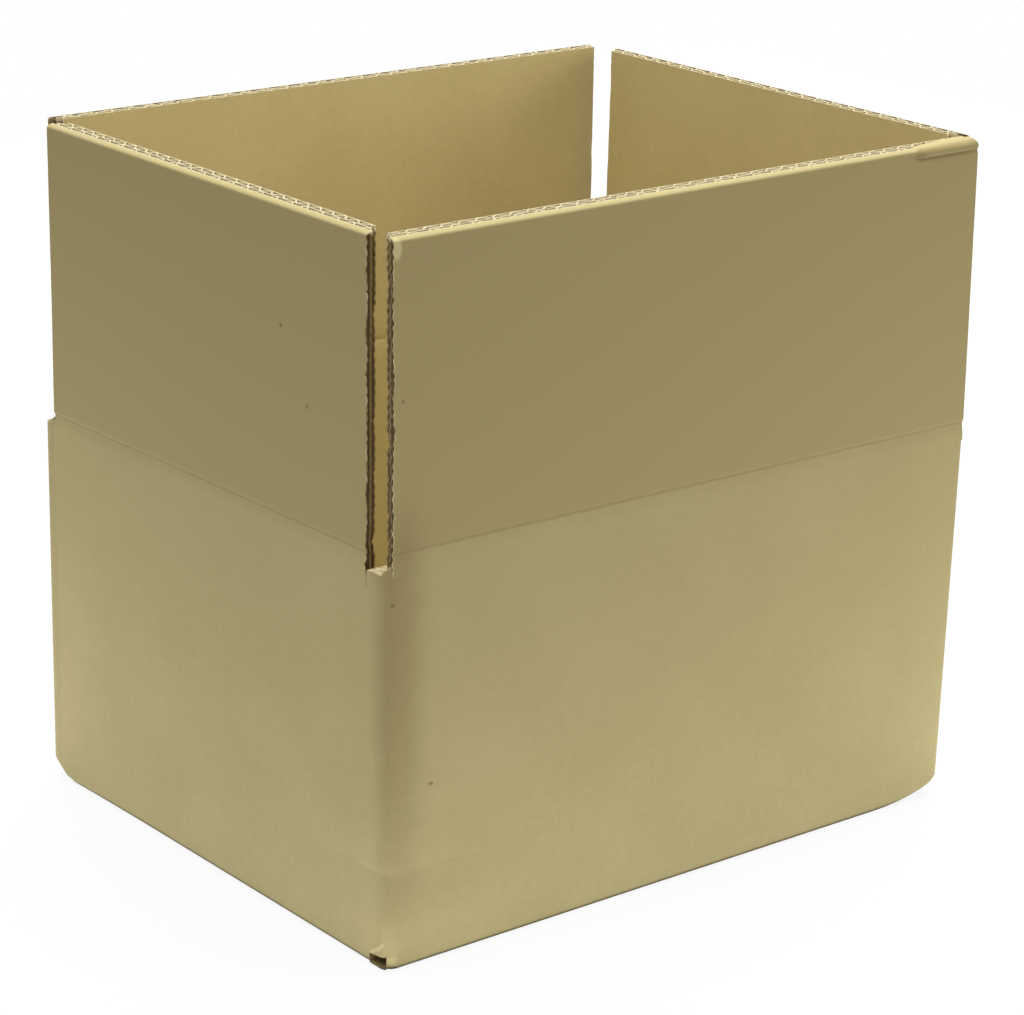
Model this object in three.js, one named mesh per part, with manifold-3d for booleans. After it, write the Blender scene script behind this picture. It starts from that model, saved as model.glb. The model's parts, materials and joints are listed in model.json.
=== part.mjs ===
// Slotted carton of double-wall corrugated board: open at the top, its four top flaps standing
// upright, its bottom flaps folded in and glued.
// Millimetres. The origin is the middle of the underside, +X runs along the length, +Z up.

import * as THREE from 'three';
import Module from 'manifold-3d';
import { mergeGeometries, mergeVertices } from 'three/addons/utils/BufferGeometryUtils.js';

const wasm = await Module();
wasm.setup();

// Driving dimensions of the folded carton
const length = 240;
const width = 198;
const topEdge = 232.5;
const board = 7;
const foldRadius = 5;
const insideFoldRadius = 1.5;

// Creases: the wide flaps fold one board thickness above the narrow ones and lie on them when shut
const narrowCrease = 130.9;
const wideCrease = narrowCrease + board + 0.4;
const creaseGap = 0.25;

// Double-wall board: three flat liners with a wavy medium in each of the two gaps between them.
// The coarse wave is the one next to the carton's outside.
const liner = 0.45;
const medium = 0.4;
const coarsePitch = 7.9;
const finePitch = 6.4;
const coarseShare = 0.59;
const flatBorder = 1.2;
const footWeb = 1.4 * medium;
const slantWeb = 0.8 * medium;

// Slots between neighbouring flaps
const wideEndInset = board + 0.5;
const narrowEndInset = 12.5;
const slotFloor = 127;
const slotClearance = 0.35;

// Bottom: narrow flaps inside, wide flaps outside and butted between the end walls
const bottomFlapReach = 97;
const seamGap = 1.2;
const bottomFoldRadius = 2;
const cornerNotch = 6;
const notchReach = 9;

// Glued lap where the two ends of the blank meet, inside the back corner
const lapWidth = 35;
const lapThickness = 4;
const lapBevel = 8;
const lapBottom = 2 * board + 2;
const lapTop = slotFloor - 6;
const grooveWidth = 0.8;
const grooveDepth = 3;
const grooveFromWall = 2;

// How far a cutting shape runs past the surface that it cuts
const overcut = 1;
const wideOvercut = 5;

// Makes a solid for cutting and joining from a closed three.js geometry
function toSolid(geometry) {
  const bare = geometry.index ? geometry.toNonIndexed() : geometry.clone();
  for (const name of Object.keys(bare.attributes)) {
    if (name !== 'position') bare.deleteAttribute(name);
  }
  const merged = mergeVertices(bare, 1e-4);
  const vertProperties = new Float32Array(merged.attributes.position.array);
  const triVerts = new Uint32Array(merged.index.array);
  return new wasm.Manifold(new wasm.Mesh({ numProp: 3, vertProperties, triVerts }));
}

// Gives a cut solid back as a geometry
function toGeometry(solid) {
  const mesh = solid.getMesh();
  const geometry = new THREE.BufferGeometry();
  geometry.setAttribute('position', new THREE.BufferAttribute(new Float32Array(mesh.vertProperties), 3));
  geometry.setIndex(new THREE.BufferAttribute(new Uint32Array(mesh.triVerts), 1));
  return geometry;
}

// A block between two corners
function block(low, high) {
  const size = high.map((value, i) => value - low[i]);
  const geometry = new THREE.BoxGeometry(...size);
  geometry.translate(low[0] + size[0] / 2, low[1] + size[1] / 2, low[2] + size[2] / 2);
  return toSolid(geometry);
}

// Outline of the carton seen from above, drawn in by an inset, with round corners
function roundedOutline(inset, radius) {
  const x = length / 2 - inset;
  const y = width / 2 - inset;
  const shape = new THREE.Shape();
  shape.moveTo(-x + radius, -y);
  shape.lineTo(x - radius, -y);
  shape.absarc(x - radius, -y + radius, radius, -Math.PI / 2, 0);
  shape.lineTo(x, y - radius);
  shape.absarc(x - radius, y - radius, radius, 0, Math.PI / 2);
  shape.lineTo(-x + radius, y);
  shape.absarc(-x + radius, y - radius, radius, Math.PI / 2, Math.PI);
  shape.lineTo(-x, -y + radius);
  shape.absarc(-x + radius, -y + radius, radius, Math.PI, Math.PI * 1.5);
  return shape;
}

// An upright prism on an outline
function prism(shape, bottom, top, curveSegments) {
  const depth = top - bottom;
  const geometry = new THREE.ExtrudeGeometry(shape, { depth, bevelEnabled: false, curveSegments });
  geometry.translate(0, 0, bottom);
  return toSolid(geometry);
}

// A bar along X whose section is drawn as points of depth and height; depth runs inward from the
// front wall's outer face, and turn swings it round to another wall
function bar(points, halfSpan, wallDistance, turn) {
  const shape = new THREE.Shape(points.map(([depth, height]) => new THREE.Vector2(depth, height)));
  const geometry = new THREE.ExtrudeGeometry(shape, { depth: 2 * halfSpan, bevelEnabled: false });
  geometry.translate(0, 0, -halfSpan);
  geometry.rotateX(Math.PI / 2);
  geometry.rotateZ(Math.PI / 2);
  geometry.translate(0, -wallDistance, 0);
  geometry.rotateZ(turn);
  return toSolid(geometry);
}

// Walls
// The four walls turn round the carton in this order, each with its crease and its flap's half span
const wideWall = { out: width / 2, span: length / 2 - wideEndInset, crease: wideCrease };
const narrowWall = { out: length / 2, span: width / 2 - narrowEndInset, crease: narrowCrease };
const walls = [
  { name: 'front_flap', turn: 0, ...wideWall },
  { name: 'right_flap', turn: Math.PI / 2, ...narrowWall },
  { name: 'back_flap', turn: Math.PI, ...wideWall },
  { name: 'left_flap', turn: -Math.PI / 2, ...narrowWall },
];

const corners = [[-1, -1], [1, -1], [1, 1], [-1, 1]];

// The folded blank: walls, round upright folds and closed bottom, in one piece
function makeBody() {
  const cavityTop = wideCrease + wideOvercut;
  let body = prism(roundedOutline(0, foldRadius), 0, wideCrease, 5);
  body = body.subtract(prism(roundedOutline(board, insideFoldRadius), 2 * board, cavityTop, 2));

  // The mitre under each flap takes up the board that the score crushes when the flap folds in
  for (const wall of walls) {
    const top = wall.crease - creaseGap;
    const mitre = [
      [-wideOvercut, top + wideOvercut],
      [board + wideOvercut, top - board - wideOvercut],
      [board + wideOvercut, cavityTop],
      [-wideOvercut, cavityTop],
    ];
    body = body.subtract(bar(mitre, wall.span + slotClearance, wall.out, wall.turn));
  }

  // The slots run down past the creases at the four corners
  const slotX = length / 2 - wideEndInset + slotClearance;
  const slotY = width / 2 - narrowEndInset + slotClearance;
  for (const [signX, signY] of corners) {
    const near = [signX * slotX, signY * slotY];
    const far = [signX * (length / 2 + wideOvercut), signY * (width / 2 + wideOvercut)];
    const low = [Math.min(near[0], far[0]), Math.min(near[1], far[1]), slotFloor];
    const high = [Math.max(near[0], far[0]), Math.max(near[1], far[1]), cavityTop];
    body = body.subtract(block(low, high));
  }

  return body;
}

// Bottom flaps: the narrow pair ends short of the middle and of the long walls, and the wide pair
// meets in a seam under them
function cutBottom(body) {
  const insideX = length / 2 - board;
  const insideY = width / 2 - board;
  const narrowEndX = length / 2 - bottomFlapReach;
  const narrowSideY = width / 2 - narrowEndInset;
  const floorTop = 2 * board + overcut;
  const buttTop = board - liner;
  let cut = body.subtract(block([-narrowEndX, -insideY, board], [narrowEndX, insideY, floorTop]));
  for (const side of [-1, 1]) {
    const edges = [side * narrowSideY, side * insideY].sort((a, b) => a - b);
    cut = cut.subtract(block([-insideX, edges[0], board], [insideX, edges[1], floorTop]));
    const butt = [side * insideX, side * (insideX - seamGap)].sort((a, b) => a - b);
    cut = cut.subtract(block([butt[0], -insideY, -overcut], [butt[1], insideY, buttTop]));
  }
  const seam = block([-insideX, -seamGap / 2, -overcut], [insideX, seamGap / 2, board]);
  return cut.subtract(seam);
}

// Rounds off the underside's long edges and notches its four corners, where the slots end
function roundBottom(body) {
  let cut = body;
  const reach = bottomFoldRadius;
  const middle = reach * (1 - Math.SQRT1_2);
  const edge = [
    [-overcut, -overcut],
    [reach, -overcut],
    [reach, 0],
    [middle, middle],
    [0, reach],
    [-overcut, reach],
  ];
  for (const wall of walls) {
    const along = wall.out === width / 2 ? length / 2 : width / 2;
    cut = cut.subtract(bar(edge, along + overcut, wall.out, wall.turn));
  }

  const notch = [
    [-notchReach, -overcut],
    [cornerNotch + overcut, -overcut],
    [0, cornerNotch],
    [-notchReach, cornerNotch],
  ];
  const cornerPull = foldRadius * (1 - Math.SQRT1_2);
  const cornerX = length / 2 - cornerPull;
  const cornerY = width / 2 - cornerPull;
  for (const [signX, signY] of corners) {
    const turn = Math.atan2(-signY, -signX) - Math.PI / 2;
    const wedge = bar(notch, 2 * notchReach, 0, turn);
    cut = cut.subtract(wedge.translate([signX * cornerX, signY * cornerY, 0]));
  }
  return cut;
}

// The glued lap: the right wall's last strip, pressed thin, lies inside the back wall, whose cut
// edge leaves a fine upright groove beside the fold
function addLap(body) {
  const x = length / 2 - board;
  const shape = new THREE.Shape([
    new THREE.Vector2(x + overcut, lapBottom),
    new THREE.Vector2(x + overcut, lapTop),
    new THREE.Vector2(x - lapWidth, lapTop - lapBevel),
    new THREE.Vector2(x - lapWidth, lapBottom + lapBevel),
  ]);
  const depth = lapThickness + overcut;
  const geometry = new THREE.ExtrudeGeometry(shape, { depth, bevelEnabled: false });
  geometry.rotateX(Math.PI / 2);
  geometry.translate(0, width / 2 - board + overcut, 0);
  const grooveX = x + grooveFromWall;
  const grooveLow = [grooveX, width / 2 - grooveDepth, -overcut];
  const grooveHigh = [grooveX + grooveWidth, width / 2 + overcut, wideCrease];
  return body.add(toSolid(geometry)).subtract(block(grooveLow, grooveHigh));
}

// Flaps
// Where the two waves run, as the depth and height of each gap between liners
const gapDepth = board - 3 * liner;
const waves = [
  { base: liner, rise: gapDepth * coarseShare, pitch: coarsePitch },
  { base: 2 * liner + gapDepth * coarseShare, rise: gapDepth * (1 - coarseShare), pitch: finePitch },
];

// One flute seen end on: the hollow under one hump of the wave, drawn as an arch. facing is 1 where
// it stands on the outer of the two liners and -1 where it hangs from the inner one.
function flute(middle, wave, facing) {
  const foot = facing > 0 ? wave.base : wave.base + wave.rise;
  const halfWidth = wave.pitch / 2 - footWeb;
  const quarter = wave.pitch / 4;
  const shoulder = wave.rise / 2 - slantWeb;
  const crown = wave.rise - medium;
  const arch = [[-halfWidth, 0], [-quarter, shoulder], [0, crown], [quarter, shoulder], [halfWidth, 0]];
  return new THREE.Shape(arch.map(([x, y]) => new THREE.Vector2(middle + x, foot + facing * y)));
}

// The flutes of one wave between the flap's two slotted ends
function flutes(wave, span) {
  const count = Math.floor((2 * (span - flatBorder)) / wave.pitch);
  const shapes = [];
  for (let i = 0; i < count; i += 1) {
    const middle = (i - (count - 1) / 2) * wave.pitch;
    shapes.push(flute(middle, wave, 1));
    if (i > 0) shapes.push(flute(middle - wave.pitch / 2, wave, -1));
  }
  return shapes;
}

// A flap stands on its own crease: its foot slopes to match the wall's mitre, and its flutes run
// up through it and open at the cut top edge
function makeFlap(wall) {
  const height = topEdge - wall.crease;
  const section = [
    [0, creaseGap],
    [board, creaseGap + board],
    [board, height],
    [0, height],
  ];
  const sheet = bar(section, wall.span, 0, 0);
  const shapes = waves.flatMap((wave) => flutes(wave, wall.span));
  const depth = height + 2 * overcut;
  const tunnels = shapes.map((shape) => new THREE.ExtrudeGeometry(shape, { depth, bevelEnabled: false }));
  const hollow = mergeGeometries(tunnels);
  hollow.translate(0, 0, -overcut);
  return toGeometry(sheet.subtract(toSolid(hollow)));
}

const carton = new THREE.Group();

function kraft(color) {
  return new THREE.MeshStandardMaterial({ color, roughness: 0.92, metalness: 0 });
}

const body = new THREE.Mesh(toGeometry(addLap(roundBottom(cutBottom(makeBody())))), kraft(0xb3a476));
body.name = 'carton_body';
carton.add(body);

for (const wall of walls) {
  const flap = new THREE.Mesh(makeFlap(wall), kraft(0xa39668));
  flap.name = wall.name;
  flap.position.set(0, -wall.out, wall.crease);
  const side = new THREE.Group();
  side.rotation.z = wall.turn;
  side.add(flap);
  carton.add(side);
}

export default carton;
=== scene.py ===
# Looks for a slotted carton of double-wall corrugated board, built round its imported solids.
# Lengths are in millimetres until a mesh is made, and the frame is the part's own.

import json
import math

import bpy
from mathutils import Matrix, Vector, noise


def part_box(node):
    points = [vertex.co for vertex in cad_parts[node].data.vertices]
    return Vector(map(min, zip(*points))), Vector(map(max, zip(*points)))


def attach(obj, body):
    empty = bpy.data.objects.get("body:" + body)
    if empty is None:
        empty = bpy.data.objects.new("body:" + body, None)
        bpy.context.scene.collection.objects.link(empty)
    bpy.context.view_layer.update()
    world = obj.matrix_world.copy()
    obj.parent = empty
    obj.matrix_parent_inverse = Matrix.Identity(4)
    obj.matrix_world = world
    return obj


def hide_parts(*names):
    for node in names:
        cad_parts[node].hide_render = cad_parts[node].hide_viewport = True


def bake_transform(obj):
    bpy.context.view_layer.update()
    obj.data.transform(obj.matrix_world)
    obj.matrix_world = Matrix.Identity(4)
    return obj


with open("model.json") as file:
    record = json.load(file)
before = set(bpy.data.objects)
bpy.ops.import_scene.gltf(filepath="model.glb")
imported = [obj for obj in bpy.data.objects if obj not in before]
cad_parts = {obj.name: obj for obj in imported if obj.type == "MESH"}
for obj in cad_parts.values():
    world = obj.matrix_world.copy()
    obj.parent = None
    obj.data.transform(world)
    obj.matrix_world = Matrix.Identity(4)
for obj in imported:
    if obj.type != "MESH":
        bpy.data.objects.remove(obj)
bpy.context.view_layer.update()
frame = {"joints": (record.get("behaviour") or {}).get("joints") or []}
bpy.context.scene.view_settings.view_transform = "Standard"

# Sizes from the frame
MM = 0.001
body_low, body_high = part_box("carton_body")
length = (body_high.x - body_low.x) / MM
width = (body_high.y - body_low.y) / MM
top_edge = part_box("back_flap")[1].z / MM
board = (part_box("back_flap")[1].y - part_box("back_flap")[0].y) / MM
pivots = {joint["child"]: joint["pos_m"][2] / MM for joint in frame["joints"]}
half_length = length / 2
half_width = width / 2

# Creases: the score dents the outside and squeezes the board. The two marks are the heights of the
# creases and of the flaps' top edges on the flat blank.
bend_reach = board
crease_dent = 0.55
dent_above = 0.8
dent_below = 2.6
crease_squeeze = 0.12
squeeze_reach = 2.4
crease_mark = 135.0
top_mark = 233.0

# Slots: the height of their feet, how far the far left one rises towards its narrow flap, and
# where the narrow flaps' sheets start
slot_floor = 129.0
far_slot_rise = 3.0
narrow_foot = pivots["left_flap"] - bend_reach - 0.4

# Board: three liners, a coarse wave beside the outer one and a fine wave beside the inner one. The
# knife has flared the waves' cut top edges.
liner = 0.45
medium = 0.35
edge_flare = 0.8
edge_flare_reach = 0.9
coarse_pitch = 7.9
fine_pitch = 6.4
coarse_share = 0.59
points_per_wave = 12

# Cut edges: the outer liner rolls over the coarse wave along the top, and torn ends show teeth with
# rough bites between them
roll_height = 1.3
roll_depth = 1.9
tooth_pitch = 3.1
tooth_depth = 0.6
bite_depth = 1.2
grain_depth = 0.4

# Steps of the flaps' mesh: how far in from a torn end its own columns, the other columns and the
# waves start, and the steps up a toothed flap, up a plain one and along both
torn_margin = 2.3
column_margin = 3.0
wave_margin = 0.7
visible_tear = 0.5
tooth_step = 0.8
plain_step = 3.0
column_step = 7.0
bead_step = 1.0

# The crushed far corner of the front flap: its outer liner is rolled back into a bead over a groove.
# The share bead_side of the bead's height stands upright, and the board under it is pressed down.
bead_length = 29.0
bead_blend = 3.0
bead_height = 3.5
bead_swell = 0.9
bead_end_swell = 0.2
bead_end_length = 6.0
bead_closed = 8.0
bead_side = 0.2
bead_fullness = 0.75
bead_pressed = 0.6
groove_depth = 0.45
groove_width = 0.7

# Folds: the upright ones are round, and the bottom ones are lifted where the slots end at the
# corners, and more at the crushed right corner
fold_radius = 4.0
inside_fold_radius = 1.5
fold_steps = 12
near_fold_rise = 2.6
bottom_radius = 2.0
corner_notch = 6.0
notch_fade = 14.0
right_corner_lift = 5.2
right_corner_lift_reach = 30.0
floor_top = 2 * board
bottom_flap_reach = 97.0
bottom_clearance = 0.1
seam_gap = 1.2

# Glued lap inside the back right corner, sunk a little into the wall. It lies lap_mark up the blank,
# clear of the walls' marks.
lap_width = 35.0
lap_thickness = 4.0
lap_taper = 0.8
lap_bevel = 8.0
lap_sink = 0.3
lap_bottom = floor_top + 2
lap_top = slot_floor - 8
lap_mark = 400

# The seam on the back wall, where the board's end meets the fold that the lap runs on from: places
# along the wall and depths
seam_groove = ((-114.8, 0), (-114.4, 2.2), (-113.8, 2.2), (-113.4, 0))

# Walls in turn order. turn counts its quarter turns from the front, out is how far its face lies
# from the middle, half is half its length, and blank is where its middle lies on the flat blank.
# crease is its crease's height, slope and lean are those of its crease and its flap, tall is how
# much longer its flap is, and foot is where the flap's sheets start. start and end are its flap's
# ends: how far they stand in from the carton's corner at the outer and the inner face, and how
# torn they are.
walls = {
    "front": dict(
        turn=0, out=half_width, half=half_length, blank=0,
        crease=135.65, slope=-0.005, lean=-0.44, tall=0.0, foot=slot_floor,
        start=(1.3, 4.2, 1.0), end=(-0.4, 2.5, 0.1),
    ),
    "right": dict(
        turn=1, out=half_length, half=half_width, blank=half_length + half_width,
        crease=133.46, slope=0.0, lean=0.66, tall=0.7, foot=narrow_foot,
        start=(5.5, 9.5, 0.3), end=(12.4, 16.4, 0.3),
    ),
    "back": dict(
        turn=2, out=half_width, half=half_length, blank=length + width,
        crease=135.65, slope=0.0, lean=0.29, tall=0.7, foot=slot_floor,
        start=(3.5, 6.1, 0.3), end=(5.0, 7.0, 0.3),
    ),
    "left": dict(
        turn=3, out=half_length, half=half_width, blank=-half_length - half_width,
        crease=133.46, slope=0.009, lean=0.0, tall=0.0, foot=narrow_foot,
        start=(7.3, 9.6, 0.1), end=(11.4, 16.7, 1.0),
    ),
}

# Upright folds that stand a little out of line: corner, shift along X at the floor and at the crease
leaning_folds = (
    (half_length, -half_width, -0.9, 2.6),
    (-half_length, half_width, -1.0, -0.35),
)
leaning_reach = 70.0
leaning_fade = 40.0

# The small dark hole at the near bottom corner, where a slot ends: its places along the flat blank,
# the height and slope of its upper lip, its floor and its depth
hole_start = -129.3
hole_end = -121.0
hole_top = 3.7
hole_slope = 0.1
hole_floor = 0.8
hole_depth = 6.3
hole_rim = 0.3
hole_edge_step = 0.12

# Steps of the body's mesh: along a wall, on both sides of a slot's foot, and up a wall, first as
# shares of its height over the bottom folds' notches and then in millimetres
wall_step = 6.0
foot_margin = 0.6
slot_side = 0.1
flap_side = 0.05
wall_shares = (1, 0.97, 0.9, 0.8, 0.66, 0.52, 0.36, 0.22, 0)
low_heights = (11.0, 8.5)
lowest_heights = (5.5, 4.4, 3.2)


def place(side, along, depth, height):
    """A point of a wall, from its place along the wall, its depth into the board and its height."""
    x, y = along, -walls[side]["out"] + depth
    for _ in range(walls[side]["turn"]):
        x, y = -y, x
    return x, y, height


def wobble(value, seed, scale):
    """Smooth noise of one value, between about -1 and 1."""
    return noise.noise(Vector((value / scale, seed * 7.3, seed * 1.9)))


def smooth(value, low, high):
    """Rises smoothly from 0 at low to 1 at high."""
    share = min(1.0, max(0.0, (value - low) / (high - low)))
    return share * share * (3 - 2 * share)


def settle(x, y, z):
    """Shifts a point with the upright folds that stand out of line."""
    rise = min(z, crease_mark) / crease_mark
    fade = 1 - smooth(z, crease_mark, crease_mark + leaning_fade)
    for corner_x, corner_y, low, high in leaning_folds:
        share = max(0.0, 1 - math.hypot(x - corner_x, y - corner_y) / leaning_reach) ** 2
        x += share * fade * (low + (high - low) * rise)
    return x, y, z


# Materials


class Nodes:
    """A material's node tree, with short calls to add and join nodes."""

    def __init__(self, name):
        self.material = bpy.data.materials.new(name)
        self.material.use_nodes = True
        self.tree = self.material.node_tree
        self.shader = self.tree.nodes["Principled BSDF"]

    def add(self, kind, **settings):
        node = self.tree.nodes.new(kind)
        for key, value in settings.items():
            setattr(node, key, value)
        return node

    def join(self, source, target):
        self.tree.links.new(source, target)

    def noise(self, vector, scale, detail, roughness=0.5):
        node = self.add("ShaderNodeTexNoise")
        node.inputs["Scale"].default_value = scale
        node.inputs["Detail"].default_value = detail
        node.inputs["Roughness"].default_value = roughness
        self.join(vector, node.inputs["Vector"])
        return node.outputs["Fac"]

    def ramp(self, value, low, high, dark, light):
        """Turns a value between low and high into a number between dark and light."""
        node = self.add("ShaderNodeMapRange", interpolation_type="SMOOTHSTEP")
        numbers = (low, high, dark, light)
        for socket, number in zip(("From Min", "From Max", "To Min", "To Max"), numbers):
            node.inputs[socket].default_value = number
        self.join(value, node.inputs["Value"])
        return node.outputs["Result"]

    def math(self, operation, a, b):
        node = self.add("ShaderNodeMath", operation=operation)
        for socket, value in zip(node.inputs, (a, b)):
            if isinstance(value, (int, float)):
                socket.default_value = value
            else:
                self.join(value, socket)
        return node.outputs["Value"]

    def times(self, *values):
        result = values[0]
        for value in values[1:]:
            result = self.math("MULTIPLY", result, value)
        return result

    def plus(self, *values):
        result = values[0]
        for value in values[1:]:
            result = self.math("ADD", result, value)
        return result

    def band(self, value, start, full_start, full_end, end):
        """Rises from 0 to 1 between the first two places and falls back between the last two."""
        rise = self.ramp(value, start, full_start, 0, 1)
        fall = self.ramp(value, full_end, end, 1, 0)
        return self.times(rise, fall)

    def spot(self, vector, place_at, radii):
        """1 inside an oval on the blank and 0 outside it, with a soft rim; millimetres."""
        node = self.add("ShaderNodeMapping", vector_type="POINT")
        scale = [1 / (radius * MM) for radius in radii]
        node.inputs["Scale"].default_value = (*scale, 0)
        shift = [-at * MM * size for at, size in zip(place_at, scale)]
        node.inputs["Location"].default_value = (*shift, 0)
        self.join(vector, node.inputs["Vector"])
        reach = self.add("ShaderNodeVectorMath", operation="LENGTH")
        self.join(node.outputs["Vector"], reach.inputs[0])
        return self.ramp(reach.outputs["Value"], 0.6, 1.1, 1, 0)

    def mix(self, factor, a, b):
        """Mixes two colours; each is a socket or three numbers."""
        node = self.add("ShaderNodeMix", data_type="RGBA")
        self.join(factor, node.inputs["Factor"])
        for socket, value in ((node.inputs[6], a), (node.inputs[7], b)):
            if isinstance(value, tuple):
                socket.default_value = (*value, 1)
            else:
                self.join(value, socket)
        return node.outputs[2]

    def bump(self, height, distance, strength):
        node = self.add("ShaderNodeBump")
        node.inputs["Distance"].default_value = distance
        node.inputs["Strength"].default_value = strength
        self.join(height, node.inputs["Height"])
        self.join(node.outputs["Normal"], self.shader.inputs["Normal"])


def linear(red, green, blue):
    """A colour as a screen shows it, from 0 to 255, as light."""
    values = []
    for value in (red, green, blue):
        share = value / 255
        values.append(share / 12.92 if share <= 0.04045 else ((share + 0.055) / 1.055) ** 2.4)
    return tuple(values)


# Painted shade, laid over the flaps above their creases and, more lightly, high up the walls
flap_shade_kraft = linear(145, 131, 87)
# Dark kraft for the bruise along the near fold and for painted shade: along the creases, at the near
# fold and at the bead's pinch
bruise_and_shade_kraft = linear(118, 103, 64)
speck_kraft = linear(100, 86, 54)
# Cream of torn paper, used too as a painted highlight on the rolled top edge
torn_and_highlight_kraft = linear(206, 192, 142)

# Spots on the outer liner, on the flat blank: colour, middle, radii and how strongly each shows
spots = (
    (torn_and_highlight_kraft, (-117.0, 229.8), (1.8, 4.0), 0.45),
    (torn_and_highlight_kraft, (-118.6, 3.6), (3.0, 1.5), 0.2),
    # A dark smear where the bead starts: painted shade of the pinch
    (bruise_and_shade_kraft, (93.0, 230.1), (2.8, 0.8), 0.6),
    (bruise_and_shade_kraft, (-117.8, 0.6), (1.8, 0.8), 0.8),
    (speck_kraft, (-175.7, 195.5), (0.9, 0.8), 0.7),
    (speck_kraft, (-162.1, 173.2), (0.8, 0.9), 0.7),
    (speck_kraft, (-103.8, 59.0), (1.0, 0.7), 0.7),
    (speck_kraft, (-118.9, 120.5), (0.9, 0.7), 0.7),
    (speck_kraft, (-114.9, 182.8), (0.7, 0.6), 0.7),
)

# Bands on the outer liner, each with the places where it starts, is full, begins to fade and ends,
# and how strongly it shows. The crease band is painted shade along the creases, and the band at the
# near fold is a bruise together with painted shade of the rounded fold. Its edges drift, and the torn
# line over the hole climbs.
crease_shade_band = (crease_mark - 0.6, crease_mark, crease_mark + 0.2, crease_mark + 0.9)
crease_shade_share = 0.45
bruise_shade_along = (-127, -117, -112, -98)
bruise_shade_up = (-60, 122, 130, 162)
bruise_shade_share = 0.56
bruise_shade_drift = 8
torn_line = (82.0, 82.6, 83.2, 84.0)
torn_line_along = (-130.5, -129, -123, -121)
torn_line_slope = 0.6
torn_line_share = 0.36
# Share of the painted highlight on the rolled top edge
rim_highlight_share = 0.48
# Painted shade up the walls: it grows from the first height to the second, up to the share given last
upper_shade_low = 20
upper_shade_high = 115
upper_shade_share = 0.35


def wear_and_shade(nodes, blank, colour):
    """The outer liner's marks: painted shade on the flaps, up the walls and along the creases, a
    bruise with painted shade at the near fold, a painted highlight on the rolled top edge, torn paper,
    specks.
    """
    split = nodes.add("ShaderNodeSeparateXYZ")
    nodes.join(blank, split.inputs["Vector"])
    along = nodes.math("DIVIDE", split.outputs["X"], MM)
    height = nodes.math("DIVIDE", split.outputs["Y"], MM)
    cloud = nodes.noise(blank, 90, 3)
    shifted = nodes.plus(along, nodes.times(cloud, bruise_shade_drift))

    # Painted shade: the flaps darker above the crease, and the walls darker higher up
    flap = nodes.ramp(height, crease_mark - 0.1, crease_mark + 0.5, 0, 1)
    upper_shade = nodes.ramp(height, upper_shade_low, upper_shade_high, 0, upper_shade_share)
    colour = nodes.mix(nodes.math("MAXIMUM", flap, upper_shade), colour, flap_shade_kraft)
    # Painted shade: a dark line along the crease
    score = nodes.band(height, *crease_shade_band)
    colour = nodes.mix(nodes.times(score, crease_shade_share), colour, bruise_and_shade_kraft)

    # A bruise along the near rounded fold, deepened by painted shade of the fold and reaching up to
    # the crease beside the slot
    bruise_shade = nodes.band(shifted, *bruise_shade_along)
    fade = nodes.band(height, *bruise_shade_up)
    colour = nodes.mix(nodes.times(bruise_shade, fade, bruise_shade_share), colour, bruise_and_shade_kraft)

    # Painted highlight: the outer liner turns cream where it rolls over the top edge
    rim = nodes.ramp(height, top_mark - roll_height - 0.4, top_mark - 0.4, 0, rim_highlight_share)
    colour = nodes.mix(rim, colour, torn_and_highlight_kraft)
    line = nodes.plus(height, nodes.times(along, -torn_line_slope))
    edge = nodes.band(line, *torn_line)
    reach = nodes.band(along, *torn_line_along)
    colour = nodes.mix(nodes.times(edge, reach, torn_line_share), colour, torn_and_highlight_kraft)
    for tone, middle, radii, share in spots:
        strength = nodes.times(nodes.spot(blank, middle, radii), share)
        colour = nodes.mix(strength, colour, tone)
    return colour


def kraft(name, dark, light, speck, washboard, worn_and_shaded):
    """Kraft liner: clouded pulp, fibres lying across the flutes, fine specks, faint washboarding."""
    nodes = Nodes(name)
    blank = nodes.add("ShaderNodeUVMap", uv_map="blank").outputs["UV"]
    stretch = nodes.add("ShaderNodeMapping")
    stretch.inputs["Scale"].default_value = (0.35, 1, 1)
    nodes.join(blank, stretch.inputs["Vector"])

    clouds = nodes.noise(blank, 28, 3)
    mottle = nodes.noise(blank, 330, 4, 0.6)
    fibres = nodes.noise(stretch.outputs["Vector"], 1500, 3, 0.6)
    tone = nodes.plus(nodes.times(clouds, 0.5), nodes.times(mottle, 0.5), nodes.times(fibres, 0.35))
    colour = nodes.mix(nodes.ramp(tone, 0.4, 0.95, 0, 1), dark, light)

    cells = nodes.add("ShaderNodeTexVoronoi", feature="F1")
    cells.inputs["Scale"].default_value = 260
    nodes.join(blank, cells.inputs["Vector"])
    small = nodes.ramp(cells.outputs["Distance"], 0.03, 0.12, 1, 0)
    chance = nodes.add("ShaderNodeSeparateColor")
    nodes.join(cells.outputs["Color"], chance.inputs["Color"])
    rare = nodes.ramp(chance.outputs["Red"], 0.97, 0.99, 0, 0.3)
    colour = nodes.mix(nodes.times(small, rare), colour, speck)
    # The outer liner's marks, with painted shade and a painted highlight among them
    if worn_and_shaded:
        colour = wear_and_shade(nodes, blank, colour)
    nodes.join(colour, nodes.shader.inputs["Base Color"])

    ridges = nodes.add("ShaderNodeTexWave", wave_type="BANDS", bands_direction="X", wave_profile="SIN")
    ridges.inputs["Scale"].default_value = 2 * math.pi / 20 / (washboard * MM)
    ridges.inputs["Distortion"].default_value = 0
    nodes.join(blank, ridges.inputs["Vector"])
    height = nodes.plus(
        nodes.times(fibres, 0.05),
        nodes.times(mottle, 0.12),
        nodes.times(ridges.outputs["Fac"], 0.2),
    )
    nodes.bump(height, 0.0005, 0.35)
    nodes.shader.inputs["Roughness"].default_value = 0.9
    nodes.shader.inputs["Specular IOR Level"].default_value = 0.2
    return nodes.material


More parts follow.
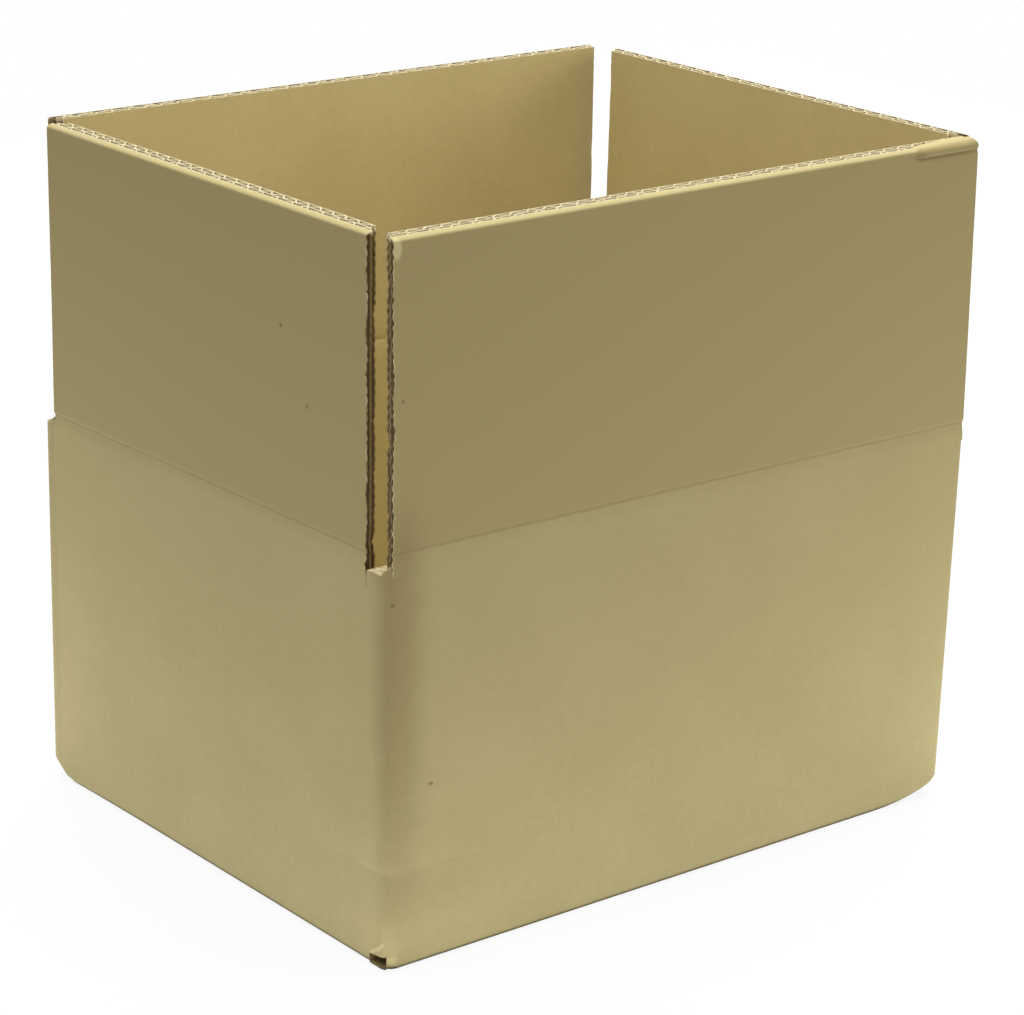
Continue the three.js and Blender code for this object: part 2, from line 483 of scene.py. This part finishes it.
def raw_paper(name, dark, light, scale, lit_top=None):
    """Cut or unbleached paper seen on its edge or inside a flute. Its last argument is painted light:
    a lighter colour right under the flaps' top edges, where light falls into the flutes."""
    nodes = Nodes(name)
    place_at = nodes.add("ShaderNodeTexCoord").outputs["Object"]
    grain = nodes.noise(place_at, scale, 4, 0.65)
    colour = nodes.mix(nodes.ramp(grain, 0.3, 0.7, 0, 1), dark, light)
    if lit_top:
        split = nodes.add("ShaderNodeSeparateXYZ")
        blank = nodes.add("ShaderNodeUVMap", uv_map="blank").outputs["UV"]
        nodes.join(blank, split.inputs["Vector"])
        height = nodes.math("DIVIDE", split.outputs["Y"], MM)
        # Painted light: the flute paper lightens towards the flaps' top edges, where light falls into
        # the flutes
        top_light = nodes.ramp(height, top_mark - 2.4, top_mark - 0.6, 0, 0.85)
        colour = nodes.mix(top_light, colour, lit_top)
    nodes.join(colour, nodes.shader.inputs["Base Color"])
    nodes.bump(grain, 0.0003, 0.5)
    nodes.shader.inputs["Roughness"].default_value = 0.95
    nodes.shader.inputs["Specular IOR Level"].default_value = 0.15
    return nodes.material


outer_tones = (linear(153, 140, 95), linear(163, 150, 105))
inner_tones = (linear(190, 173, 121), linear(200, 184, 132))
cut_tones = (linear(160, 148, 112), linear(205, 194, 160))
flute_tones = (linear(120, 103, 68), linear(148, 131, 90))
torn_tones = (linear(138, 124, 82), linear(196, 184, 144))
# Painted light for the flutes' mouths under the flaps' top edges
painted_flute_light = linear(226, 212, 174)
OUTER, INNER, CUT, FLUTE, TORN = range(5)
paper_slots = (
    kraft("outer_kraft", *outer_tones, speck_kraft, coarse_pitch, True),
    kraft("inner_kraft", *inner_tones, speck_kraft, fine_pitch, False),
    raw_paper("cut_paper", *cut_tones, 1400),
    raw_paper("flute_paper", *flute_tones, 900, painted_flute_light),
    raw_paper("torn_paper", *torn_tones, 420),
)


# Mesh making


class Pulp:
    """Collects points, faces, their paper and their place on the flat blank, and makes one mesh."""

    def __init__(self):
        self.points = []
        self.blanks = []
        self.faces = []
        self.papers = []
        self.smooth = []

    def point(self, xyz, blank):
        self.points.append(Vector(xyz) * MM)
        self.blanks.append((blank[0] * MM, blank[1] * MM))
        return len(self.points) - 1

    def face(self, corners, paper, smooth_face=True):
        self.faces.append(corners)
        self.papers.append(paper)
        self.smooth.append(smooth_face)

    def make(self, name):
        mesh = bpy.data.meshes.new(name)
        mesh.from_pydata(self.points, [], self.faces)
        for paper in paper_slots:
            mesh.materials.append(paper)
        mesh.polygons.foreach_set("material_index", self.papers)
        mesh.polygons.foreach_set("use_smooth", self.smooth)
        layer = mesh.uv_layers.new(name="blank")
        for loop in mesh.loops:
            layer.data[loop.index].uv = self.blanks[loop.vertex_index]
        mesh.set_sharp_from_angle(angle=math.radians(50))
        mesh.update()
        thing = bpy.data.objects.new(name, mesh)
        bpy.context.collection.objects.link(thing)
        return thing


def slab(pulp, outer, inner, blanks, papers):
    """A closed sheet between two grids of points, outer[i][j] and inner[i][j]. papers are those of
    its outer face, its inner face, its cut edges and its torn ends."""
    columns, rows = len(outer), len(outer[0])
    last = rows - 1
    near = [[pulp.point(outer[i][j], blanks[i][j]) for j in range(rows)] for i in range(columns)]
    far = [[pulp.point(inner[i][j], blanks[i][j]) for j in range(rows)] for i in range(columns)]
    for i in range(columns - 1):
        for j in range(rows - 1):
            pulp.face((near[i][j], near[i + 1][j], near[i + 1][j + 1], near[i][j + 1]), papers[0])
            pulp.face((far[i][j], far[i][j + 1], far[i + 1][j + 1], far[i + 1][j]), papers[1])
        pulp.face((near[i][0], far[i][0], far[i + 1][0], near[i + 1][0]), papers[2], False)
        pulp.face((near[i][last], near[i + 1][last], far[i + 1][last], far[i][last]), papers[2], False)
    end = columns - 1
    for j in range(rows - 1):
        pulp.face((near[0][j], near[0][j + 1], far[0][j + 1], far[0][j]), papers[3], False)
        pulp.face((near[end][j], far[end][j], far[end][j + 1], near[end][j + 1]), papers[3], False)


def steps(low, high, step):
    """Even steps from low to high, no longer than step."""
    count = max(1, math.ceil((high - low) / step))
    return [low + (high - low) * i / count for i in range(count + 1)]


def chained_steps(*legs):
    """Steps through several legs, each with its end and its step, after a start."""
    result = [legs[0]]
    for end, step in legs[1:]:
        result += steps(result[-1], end, step)[1:]
    return result


gap_depth = board - 3 * liner
coarse_rise = gap_depth * coarse_share
fine_rise = gap_depth * (1 - coarse_share)
mid_liner_depth = liner + coarse_rise
fine_depth = mid_liner_depth + liner
inside_papers = (FLUTE, FLUTE, CUT, FLUTE)
sheets = (
    dict(wave=False, depth=0, papers=(OUTER, FLUTE, CUT, TORN), seed=1),
    dict(wave=True, depth=liner, rise=coarse_rise, pitch=coarse_pitch, papers=inside_papers, seed=2),
    dict(wave=False, depth=mid_liner_depth, papers=inside_papers, seed=3),
    dict(wave=True, depth=fine_depth, rise=fine_rise, pitch=fine_pitch, papers=inside_papers, seed=4),
    dict(wave=False, depth=board - liner, papers=(FLUTE, INNER, CUT, FLUTE), seed=5),
)


def torn_back(height, seed, torn):
    """How far a torn end of one liner is set back at a height: teeth with rough bites between."""
    tooth = 2 * abs((height / tooth_pitch + wobble(height, seed + 5, 30)) % 1 - 0.5)
    bite = max(0.0, wobble(height, seed, 7)) * bite_depth
    grain = abs(wobble(height, seed + 20, 1.6)) * grain_depth
    return torn * (tooth_depth * tooth + bite + grain)


def inset_at(end, depth):
    """How far a flap's end stands in at a depth of the board."""
    outer, inner, _ = end
    return outer + (inner - outer) * depth / board


def mapped(lines, map_point):
    """Outer points, inner points and blank places of a sheet. lines holds its columns of places:
    how far along the board, the depths of its outer and its inner face, and the height."""
    outer, inner, blanks = [], [], []
    for line in lines:
        near = [map_point(along, depth, row) for along, depth, _, row in line]
        far = [map_point(along, depth, row) for along, _, depth, row in line]
        outer.append([point for point, _ in near])
        inner.append([point for point, _ in far])
        blanks.append([blank for _, blank in near])
    return outer, inner, blanks


def liner_grid(sheet, half, start, end, rows, columns, map_point, seed):
    """Outer points, inner points and blank places of one liner with torn ends."""
    key = seed * 31 + sheet["seed"]
    depth = sheet["depth"]
    low = -half + inset_at(start, depth)
    high = half - inset_at(end, depth)
    lefts = [low + torn_back(row, key, start[2]) for row in rows]
    rights = [high - torn_back(row, key + 0.5, end[2]) for row in rows]
    inside = [at for at in columns if low + column_margin < at < high - column_margin]
    middles = [[at] * len(rows) for at in (low + torn_margin, *inside, high - torn_margin)]
    lines = []
    for column in (lefts, *middles, rights):
        lines.append([(along, depth, depth + liner, row) for along, row in zip(column, rows)])
    return mapped(lines, map_point)


def wave_grid(sheet, half, start, end, rows, map_point, seed):
    """Outer points, inner points and blank places of one wavy medium."""
    depth, rise, pitch = sheet["depth"], sheet["rise"], sheet["pitch"]
    low = -half + inset_at(start, depth) + wave_margin + 2 * start[2]
    high = half - inset_at(end, depth) - wave_margin - 2 * end[2]
    middle = depth + rise / 2
    swing = (rise - medium) / 2
    lines = []
    for along in steps(low, high, pitch / points_per_wave):
        phase = 2 * math.pi * along / pitch + seed
        slope = swing * 2 * math.pi / pitch * math.cos(phase)
        half_thick = min(medium / 2 * math.sqrt(1 + slope * slope), medium)
        centre = middle + swing * math.sin(phase)
        line = []
        for row in rows:
            flare = edge_flare * smooth(row, rows[-1] - edge_flare_reach, rows[-1])
            reach = half_thick * (1 + flare)
            line.append((along, max(centre - reach, depth), min(centre + reach, depth + rise), row))
        lines.append(line)
    return mapped(lines, map_point)


def corrugated(pulp, half, start, end, rows, wave_rows, columns, map_point, seed):
    """Double-wall board between two ends, as its five sheets of paper. map_point turns a place
    along the board, a depth and a height into a point and its place on the blank."""
    for sheet in sheets:
        if sheet["wave"]:
            grids = wave_grid(sheet, half, start, end, wave_rows, map_point, seed)
        else:
            grids = liner_grid(sheet, half, start, end, rows, columns, map_point, seed)
        slab(pulp, *grids, sheet["papers"])


# Top flaps


def crease_shape(height, depth, crease, lean):
    """Depth and height of a point of the board near a crease: the score dents the outside and
    squeezes the board, and the flap above it leans."""
    rise = height - crease
    spread = dent_above if rise > 0 else dent_below
    dent = crease_dent * math.exp(-((rise / spread) ** 2))
    squeeze = crease_squeeze * math.exp(-((rise / squeeze_reach) ** 2))
    depth = dent + depth * (1 - squeeze)
    if rise <= 0:
        return depth, height
    across = depth * math.cos(lean) - rise * math.sin(lean)
    up = crease + rise * math.cos(lean) + depth * math.sin(lean)
    return across, up


def rolled_edge(depth, height):
    """The top edge: the outer liner curls over the coarse wave, which is pressed down under it."""
    share = (height - (top_edge - roll_height)) / roll_height
    if share <= 0 or depth > roll_depth + liner:
        return depth, height
    if depth <= liner:
        return depth + roll_depth * share * share, height
    limit = math.sqrt(max(0.0, (depth - liner) / roll_depth))
    return depth, top_edge - roll_height * (1 - min(share, limit))


def crushed_edge(along, depth, height):
    """The crushed far corner of the front flap: the outer liner is rolled back over the edge, over
    half of it where the roll begins and over all of it at the flap's end."""
    low = top_edge - bead_height
    start = half_length - bead_length
    reach = board / 2 + (board / 2 - liner) * smooth(along, start, half_length - bead_closed)
    share = (height - low) / bead_height
    groove = groove_depth * math.exp(-(((height - low) / groove_width) ** 2))
    if share <= 0:
        return depth + groove * (1 if depth <= liner else 0), height
    if depth > liner:
        return depth, height if depth > reach else low + bead_height * share * bead_pressed
    end_share = smooth(along, half_length - bead_end_length, half_length)
    swell = bead_swell + (bead_end_swell - bead_swell) * end_share
    side_height = bead_height * bead_side
    if share < bead_side:
        rise = share / bead_side
        return depth + groove - swell * math.sin(math.pi / 2 * rise), low + side_height * rise
    turn = (share - bead_side) / (1 - bead_side) * math.pi / 2
    across = depth - swell + (reach - depth + swell) * (1 - math.cos(turn) ** bead_fullness)
    rise = (bead_height - side_height - depth) * math.sin(turn) ** bead_fullness
    return across, low + side_height + rise


def make_flap(side, body):
    """A top flap of five sheets, from its slots' feet to its top edge, bent at its crease."""
    wall = walls[side]
    crease, foot = wall["crease"], wall["foot"]
    lean = math.radians(wall["lean"])
    pivot = pivots[body]
    torn = max(wall["start"][2], wall["end"][2])
    face_step = tooth_step if torn > visible_tear else plain_step
    rows = chained_steps(
        foot,
        (crease - 4, 1.6),
        (crease + 2.4, 0.4),
        (pivot + bend_reach + 1, 0.9),
        (top_edge - 7, face_step),
        (top_edge - 2, 0.5),
        (top_edge, 0.25),
    )
    wave_rows = chained_steps(
        foot,
        (pivot + bend_reach + 3, 1.2),
        (top_edge - 7, 30),
        (top_edge - 2, 2.5),
        (top_edge, 0.4),
    )
    bead_start = wall["half"] - bead_length
    end_step = bead_step if side == "front" else column_step
    columns = chained_steps(-wall["half"], (bead_start, column_step), (wall["half"], end_step))
    pulp = Pulp()

    def map_point(along, depth, row):
        mark = crease_mark + (row - crease)
        stretch = 0
        if row < crease:
            share = (row - foot) / (crease - foot)
        else:
            share = (top_edge - row) / (top_edge - crease)
        if row > crease:
            mark = crease_mark + (row - crease) * (top_mark - crease_mark) / (top_edge - crease)
            stretch = wall["tall"] * (1 - share)
        true_depth, true_row = rolled_edge(depth, row)
        if side == "front":
            crushed = smooth(along, bead_start, bead_start + bead_blend)
            bead_depth, bead_row = crushed_edge(along, depth, row)
            true_depth += (bead_depth - true_depth) * crushed
            true_row += (bead_row - true_row) * crushed
        bow = wall["slope"] * along * share + stretch
        crease_here = crease + wall["slope"] * along
        true_depth, true_height = crease_shape(true_row + bow, true_depth, crease_here, lean)
        point = place(side, along, true_depth, true_height)
        if side in ("left", "right"):
            point = settle(*point)
        return point, (wall["blank"] + along, mark)

    ends = (wall["start"], wall["end"])
    corrugated(pulp, wall["half"], *ends, rows, wave_rows, columns, map_point, wall["turn"] + 1)
    flap = pulp.make(body + "_board")
    start = Vector(place(side, 0, 0, pivot - bend_reach)) * MM
    end = Vector(place(side, 0, 0, pivot + bend_reach)) * MM
    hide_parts(body)
    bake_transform(flap)


for side_name in walls:
    make_flap(side_name, side_name + "_flap")


# Body


def corner_pair(side, angle):
    """Outer and inner point of the round upright fold that ends a wall, angle 0 at the wall and a
    quarter turn at the next wall."""
    wall = walls[side]
    pair = []
    for radius, depth in ((fold_radius, 0), (inside_fold_radius, board)):
        centre = wall["half"] - depth - radius
        along = centre + radius * math.sin(angle)
        pair.append(Vector(place(side, along, depth + radius - radius * math.cos(angle), 0)).xy)
    return pair


def wall_stations(side):
    """Places round the carton along one wall and its far fold: outer point, inner point, place on
    the blank, height of the top and how far the score line lies from its mark."""
    wall = walls[side]
    names = list(walls)
    following = walls[names[(names.index(side) + 1) % 4]]
    shift = crease_mark - wall["crease"]
    next_shift = crease_mark - following["crease"]
    inside = wall["half"] - board - inside_fold_radius - 0.05
    stations = []
    marks = [(along, slot_floor) for along in steps(-inside, inside, wall_step)]
    if side in ("left", "right"):
        low = -wall["half"] + wall["start"][0]
        high = wall["half"] - wall["end"][0]
        marks = [(along, narrow_foot if low < along < high else slot_floor) for along, _ in marks]
        marks = [mark for mark in marks if min(abs(mark[0] - low), abs(mark[0] - high)) > foot_margin]
        marks += [(low - slot_side, slot_floor), (low + flap_side, narrow_foot)]
        marks += [(high - flap_side, narrow_foot), (high + slot_side, slot_floor)]
    if side == "left":
        slot = (-wall["half"] + 2, low)
        for i, (along, top) in enumerate(marks):
            if along < low:
                marks[i] = (along, top + far_slot_rise * smooth(along, *slot))
        hole_edge = hole_start - wall["blank"]
        marks += [(hole_edge + offset, slot_floor) for offset in (-hole_edge_step, hole_edge_step)]
    marks.sort()
    if side == "back":
        for i, (along, depth) in enumerate(seam_groove):
            outer = Vector(place(side, along, depth, 0)).xy
            inner = Vector(place(side, -inside - 0.04 + 0.01 * i, board, 0)).xy
            stations.append((outer, inner, wall["blank"] + along, slot_floor, shift))
    for along, top in marks:
        outer = Vector(place(side, along, 0, 0)).xy
        inner = Vector(place(side, along, board, 0)).xy
        stations.append((outer, inner, wall["blank"] + along, top, shift))
    rise = near_fold_rise if side == "left" else 0
    for i in range(fold_steps + 1):
        share = i / fold_steps
        outer, inner = corner_pair(side, math.pi / 2 * share)
        arc = wall["half"] - fold_radius + 2 * fold_radius * share
        top = slot_floor + rise * math.sin(math.pi * share)
        shift_here = shift + (next_shift - shift) * share
        stations.append((outer, inner, wall["blank"] + arc, top, shift_here))
    return stations


def lifted(x, y, z):
    """Lifts the bottom fold where the slots end at the corners, and at the crushed right corner."""
    if z > notch_fade or (x < 0 and y < 0):
        return z
    pull = fold_radius * (math.sqrt(2) - 1)
    diagonal = (half_length - abs(x) + half_width - abs(y)) / math.sqrt(2) - pull
    lift = max(0.0, corner_notch - max(diagonal, 0.0))
    if x > 0 and y < 0:
        share = max(0.0, 1 - (half_length - x) / right_corner_lift_reach)
        lift = max(lift, right_corner_lift * share * share)
    return lift + z * (1 - lift / notch_fade)


def make_ring(pulp):
    """The four walls and their folds, as one closed band round the carton."""
    stations = [station for side in walls for station in wall_stations(side)]
    angles = [math.pi / 8 * i for i in range(5)]
    loops = []
    for outer, inner, blank, top, shift in stations:
        path = [(0.0, notch_fade + (top - notch_fade) * share) for share in wall_shares]
        path += [(0.0, height) for height in low_heights]
        in_hole = hole_start < blank < hole_end
        radius = hole_floor if in_hole else bottom_radius
        if in_hole:
            lip = hole_top + hole_slope * (blank - hole_start)
            path += [(0.0, lip), (hole_depth, lip - hole_rim), (hole_depth, radius + 0.2)]
        else:
            path += [(0.0, height) for height in lowest_heights]
        path += [(radius * (1 - math.cos(angle)), radius * (1 - math.sin(angle))) for angle in angles]
        path += [(board * 0.7, 0.0), (board, 0.0), (board, bottom_radius), (board, floor_top)]
        path += [(board, floor_top + (top - floor_top) * share) for share in (0.33, 0.66)]
        path += [(board, top)]
        loop = []
        for depth, height in path:
            x, y = outer + (inner - outer) * (depth / board)
            point = settle(x, y, lifted(x, y, height))
            loop.append(pulp.point(point, (blank, height - depth + shift)))
        loops.append(loop)
    first_hole = len(wall_shares) + len(low_heights)
    hole_faces = range(first_hole, first_hole + len(lowest_heights))
    first_inner = first_hole + len(lowest_heights) + len(angles) + 1
    for i, loop in enumerate(loops):
        following = loops[(i + 1) % len(loops)]
        for j in range(len(loop)):
            k = (j + 1) % len(loop)
            paper = OUTER if j < first_inner else INNER
            if k == 0:
                paper = TORN
            if j in hole_faces and hole_start - 2 * hole_edge_step < stations[i][2] < hole_end:
                paper = FLUTE
            pulp.face((loop[j], loop[k], following[k], following[j]), paper, k != 0)


def make_bottom(pulp):
    """The four bottom flaps, folded in."""
    for side in walls:
        wide = side in ("front", "back")
        wall = walls[side]
        lift = bottom_clearance if wide else board + bottom_clearance
        inset = board + seam_gap / 2 if wide else wall["start"][0]
        reach = half_width - board - seam_gap / 2 if wide else bottom_flap_reach - board
        ends = (inset, inset, 0.2)

        def map_point(along, depth, height, side=side, lift=lift, wall=wall):
            return place(side, along, board + height, lift + depth), (wall["blank"] + along, -height)

        half = wall["half"]
        rows = steps(-1, reach, 3.0)
        wave_rows = [-1, reach - 20, reach - 2, reach]
        columns = steps(-half, half, 8.0)
        seed = 10 + wall["turn"]
        corrugated(pulp, half, ends, ends, rows, wave_rows, columns, map_point, seed)


def make_lap(pulp):
    """The glued lap on the inside of the back wall, pressed thinner than the board."""
    outer, inner, blanks = [], [], []
    for along in steps(0, lap_width, 3.5):
        share = along / lap_width
        low = lap_bottom + lap_bevel * share
        high = lap_top - lap_bevel * share
        thickness = lap_thickness - lap_taper * share + 0.2 * wobble(along, 3, 6)
        near, far, marks = [], [], []
        for height in steps(0, 1, 0.04):
            z = low + (high - low) * height
            at = -(half_length - board) + along - lap_sink
            near.append(place("back", at, board - lap_sink, z))
            far.append(place("back", at, board + thickness, z))
            marks.append((walls["back"]["blank"] + at, z + lap_mark))
        outer.append(near)
        inner.append(far)
        blanks.append(marks)
    slab(pulp, outer, inner, blanks, (FLUTE, INNER, CUT, CUT))


def make_body():
    """The folded body as one piece: the ring of walls, the closed bottom and the glued lap."""
    pulp = Pulp()
    make_ring(pulp)
    make_bottom(pulp)
    make_lap(pulp)
    body = pulp.make("carton_body_board")
    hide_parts("carton_body")
    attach(body, "box")


make_body()


# Stage and light: a white floor, a soft overhead lamp, a key, a weak side lamp, and along each wall's
# foot a strip that stands for the light that a white table throws back. Metres. The camera sees the
# floor as a mix of its own glow and its lit tone, and other light meets its dark tone.
floor_size = 1.0
floor_height = -0.0003
floor_tone = 0.9
floor_dark_tone = 0.1
floor_glow_share = 0.9
world_strength = 0.44
overhead_power = 28
key_power = 13
side_power = 3.0
bounce_power = 1.0
bounce_reach = 0.3
bounce_length = 0.7
bounce_gap = 0.0005
bounce_height = 0.001
cool_white = (0.96, 1.0, 1.1)


def make_floor():
    """A floor that looks white, keeps the object's shadow and throws back little light."""
    nodes = Nodes("white_floor")
    nodes.shader.inputs["Base Color"].default_value = (floor_tone, floor_tone, floor_tone, 1)
    nodes.shader.inputs["Roughness"].default_value = 0.9
    nodes.shader.inputs["Specular IOR Level"].default_value = 0.0
    seen = nodes.add("ShaderNodeLightPath")
    glow = nodes.add("ShaderNodeEmission")
    glow.inputs["Strength"].default_value = 1
    dull = nodes.add("ShaderNodeBsdfDiffuse")
    dull.inputs["Color"].default_value = (floor_dark_tone, floor_dark_tone, floor_dark_tone, 1)
    white = nodes.add("ShaderNodeMixShader")
    white.inputs["Fac"].default_value = floor_glow_share
    nodes.join(nodes.shader.outputs[0], white.inputs[1])
    nodes.join(glow.outputs[0], white.inputs[2])
    both = nodes.add("ShaderNodeMixShader")
    either = nodes.math("MAXIMUM", seen.outputs["Is Camera Ray"], seen.outputs["Is Glossy Ray"])
    either = nodes.math("MAXIMUM", either, seen.outputs["Is Transmission Ray"])
    nodes.join(either, both.inputs["Fac"])
    nodes.join(dull.outputs[0], both.inputs[1])
    nodes.join(white.outputs[0], both.inputs[2])
    nodes.join(both.outputs[0], nodes.tree.nodes["Material Output"].inputs["Surface"])
    mesh = bpy.data.meshes.new("floor")
    signs = ((-1, -1), (1, -1), (1, 1), (-1, 1))
    corners = [(x * floor_size, y * floor_size, floor_height) for x, y in signs]
    mesh.from_pydata(corners, [], [(0, 1, 2, 3)])
    mesh.materials.append(nodes.material)
    floor = bpy.data.objects.new("floor", mesh)
    bpy.context.collection.objects.link(floor)


def make_world():
    """Even light from all round, behind which the camera sees white."""
    world = bpy.data.worlds.new("world")
    bpy.context.scene.world = world
    world.use_nodes = True
    tree = world.node_tree
    background = tree.nodes["Background"]
    background.inputs["Color"].default_value = (1, 1, 1, 1)
    background.inputs["Strength"].default_value = world_strength
    white = tree.nodes.new("ShaderNodeBackground")
    white.inputs["Color"].default_value = (1, 1, 1, 1)
    white.inputs["Strength"].default_value = 1
    seen = tree.nodes.new("ShaderNodeLightPath")
    mix = tree.nodes.new("ShaderNodeMixShader")
    tree.links.new(seen.outputs["Is Camera Ray"], mix.inputs["Fac"])
    tree.links.new(background.outputs[0], mix.inputs[1])
    tree.links.new(white.outputs[0], mix.inputs[2])
    tree.links.new(mix.outputs[0], tree.nodes["World Output"].inputs["Surface"])


def make_lamp(name, place_at, aim, size, power, colour=(1, 1, 1)):
    """A flat lamp at a place, turned to face its aim."""
    data = bpy.data.lights.new(name, "AREA")
    data.shape = "RECTANGLE"
    data.size, data.size_y = size
    data.energy = power
    data.color = colour
    lamp = bpy.data.objects.new(name, data)
    lamp.location = place_at
    lamp.rotation_euler = (Vector(aim) - Vector(place_at)).to_track_quat("-Z", "Y").to_euler()
    lamp.visible_camera = False
    bpy.context.collection.objects.link(lamp)


make_floor()
make_world()
make_lamp("overhead", (0.45, 0.45, 1.4), (0.0, 0.0, 0.1), (1.2, 1.2), overhead_power)
make_lamp("key", (-0.7, -0.6, 1.5), (0, 0, 0.1), (1.0, 1.0), key_power)
make_lamp("side", (0.75, -0.85, 0.5), (0.05, 0, 0.15), (0.5, 0.5), side_power)
for lamp_side in walls:
    middle = Vector(place(lamp_side, 0, 0, 0)) * MM
    outward = middle.normalized()
    middle = middle + outward * (bounce_reach / 2 + bounce_gap)
    middle.z = bounce_height
    size = (bounce_reach, bounce_length)
    if abs(outward.y) > 0.5:
        size = (bounce_length, bounce_reach)
    above = middle + Vector((0, 0, 1))
    make_lamp("bounce_" + lamp_side, middle, above, size, bounce_power, cool_white)


# Camera, at the photo's place
camera_azimuth = math.radians(-38.568)
camera_elevation = math.radians(18.541)
camera_roll = math.radians(0.966)
camera_place = Vector((-677.54, -856.05, 467.49)) * MM
focal_length = 118.52


def make_camera():
    """The camera, from its place, the way it looks and how far it is rolled."""
    data = bpy.data.cameras.new("camera")
    data.lens = focal_length
    data.sensor_width = 36
    data.clip_start = 0.05
    forward = Vector(
        (
            -math.sin(camera_azimuth) * math.cos(camera_elevation),
            math.cos(camera_azimuth) * math.cos(camera_elevation),
            -math.sin(camera_elevation),
        )
    )
    level = Vector((math.cos(camera_azimuth), math.sin(camera_azimuth), 0))
    upright = level.cross(forward)
    right = level * math.cos(camera_roll) + upright * math.sin(camera_roll)
    up = upright * math.cos(camera_roll) - level * math.sin(camera_roll)
    camera = bpy.data.objects.new("camera", data)
    turn = Matrix((right, up, -forward)).transposed().to_4x4()
    camera.matrix_world = Matrix.Translation(camera_place) @ turn
    bpy.context.collection.objects.link(camera)
    bpy.context.scene.camera = camera


make_camera()
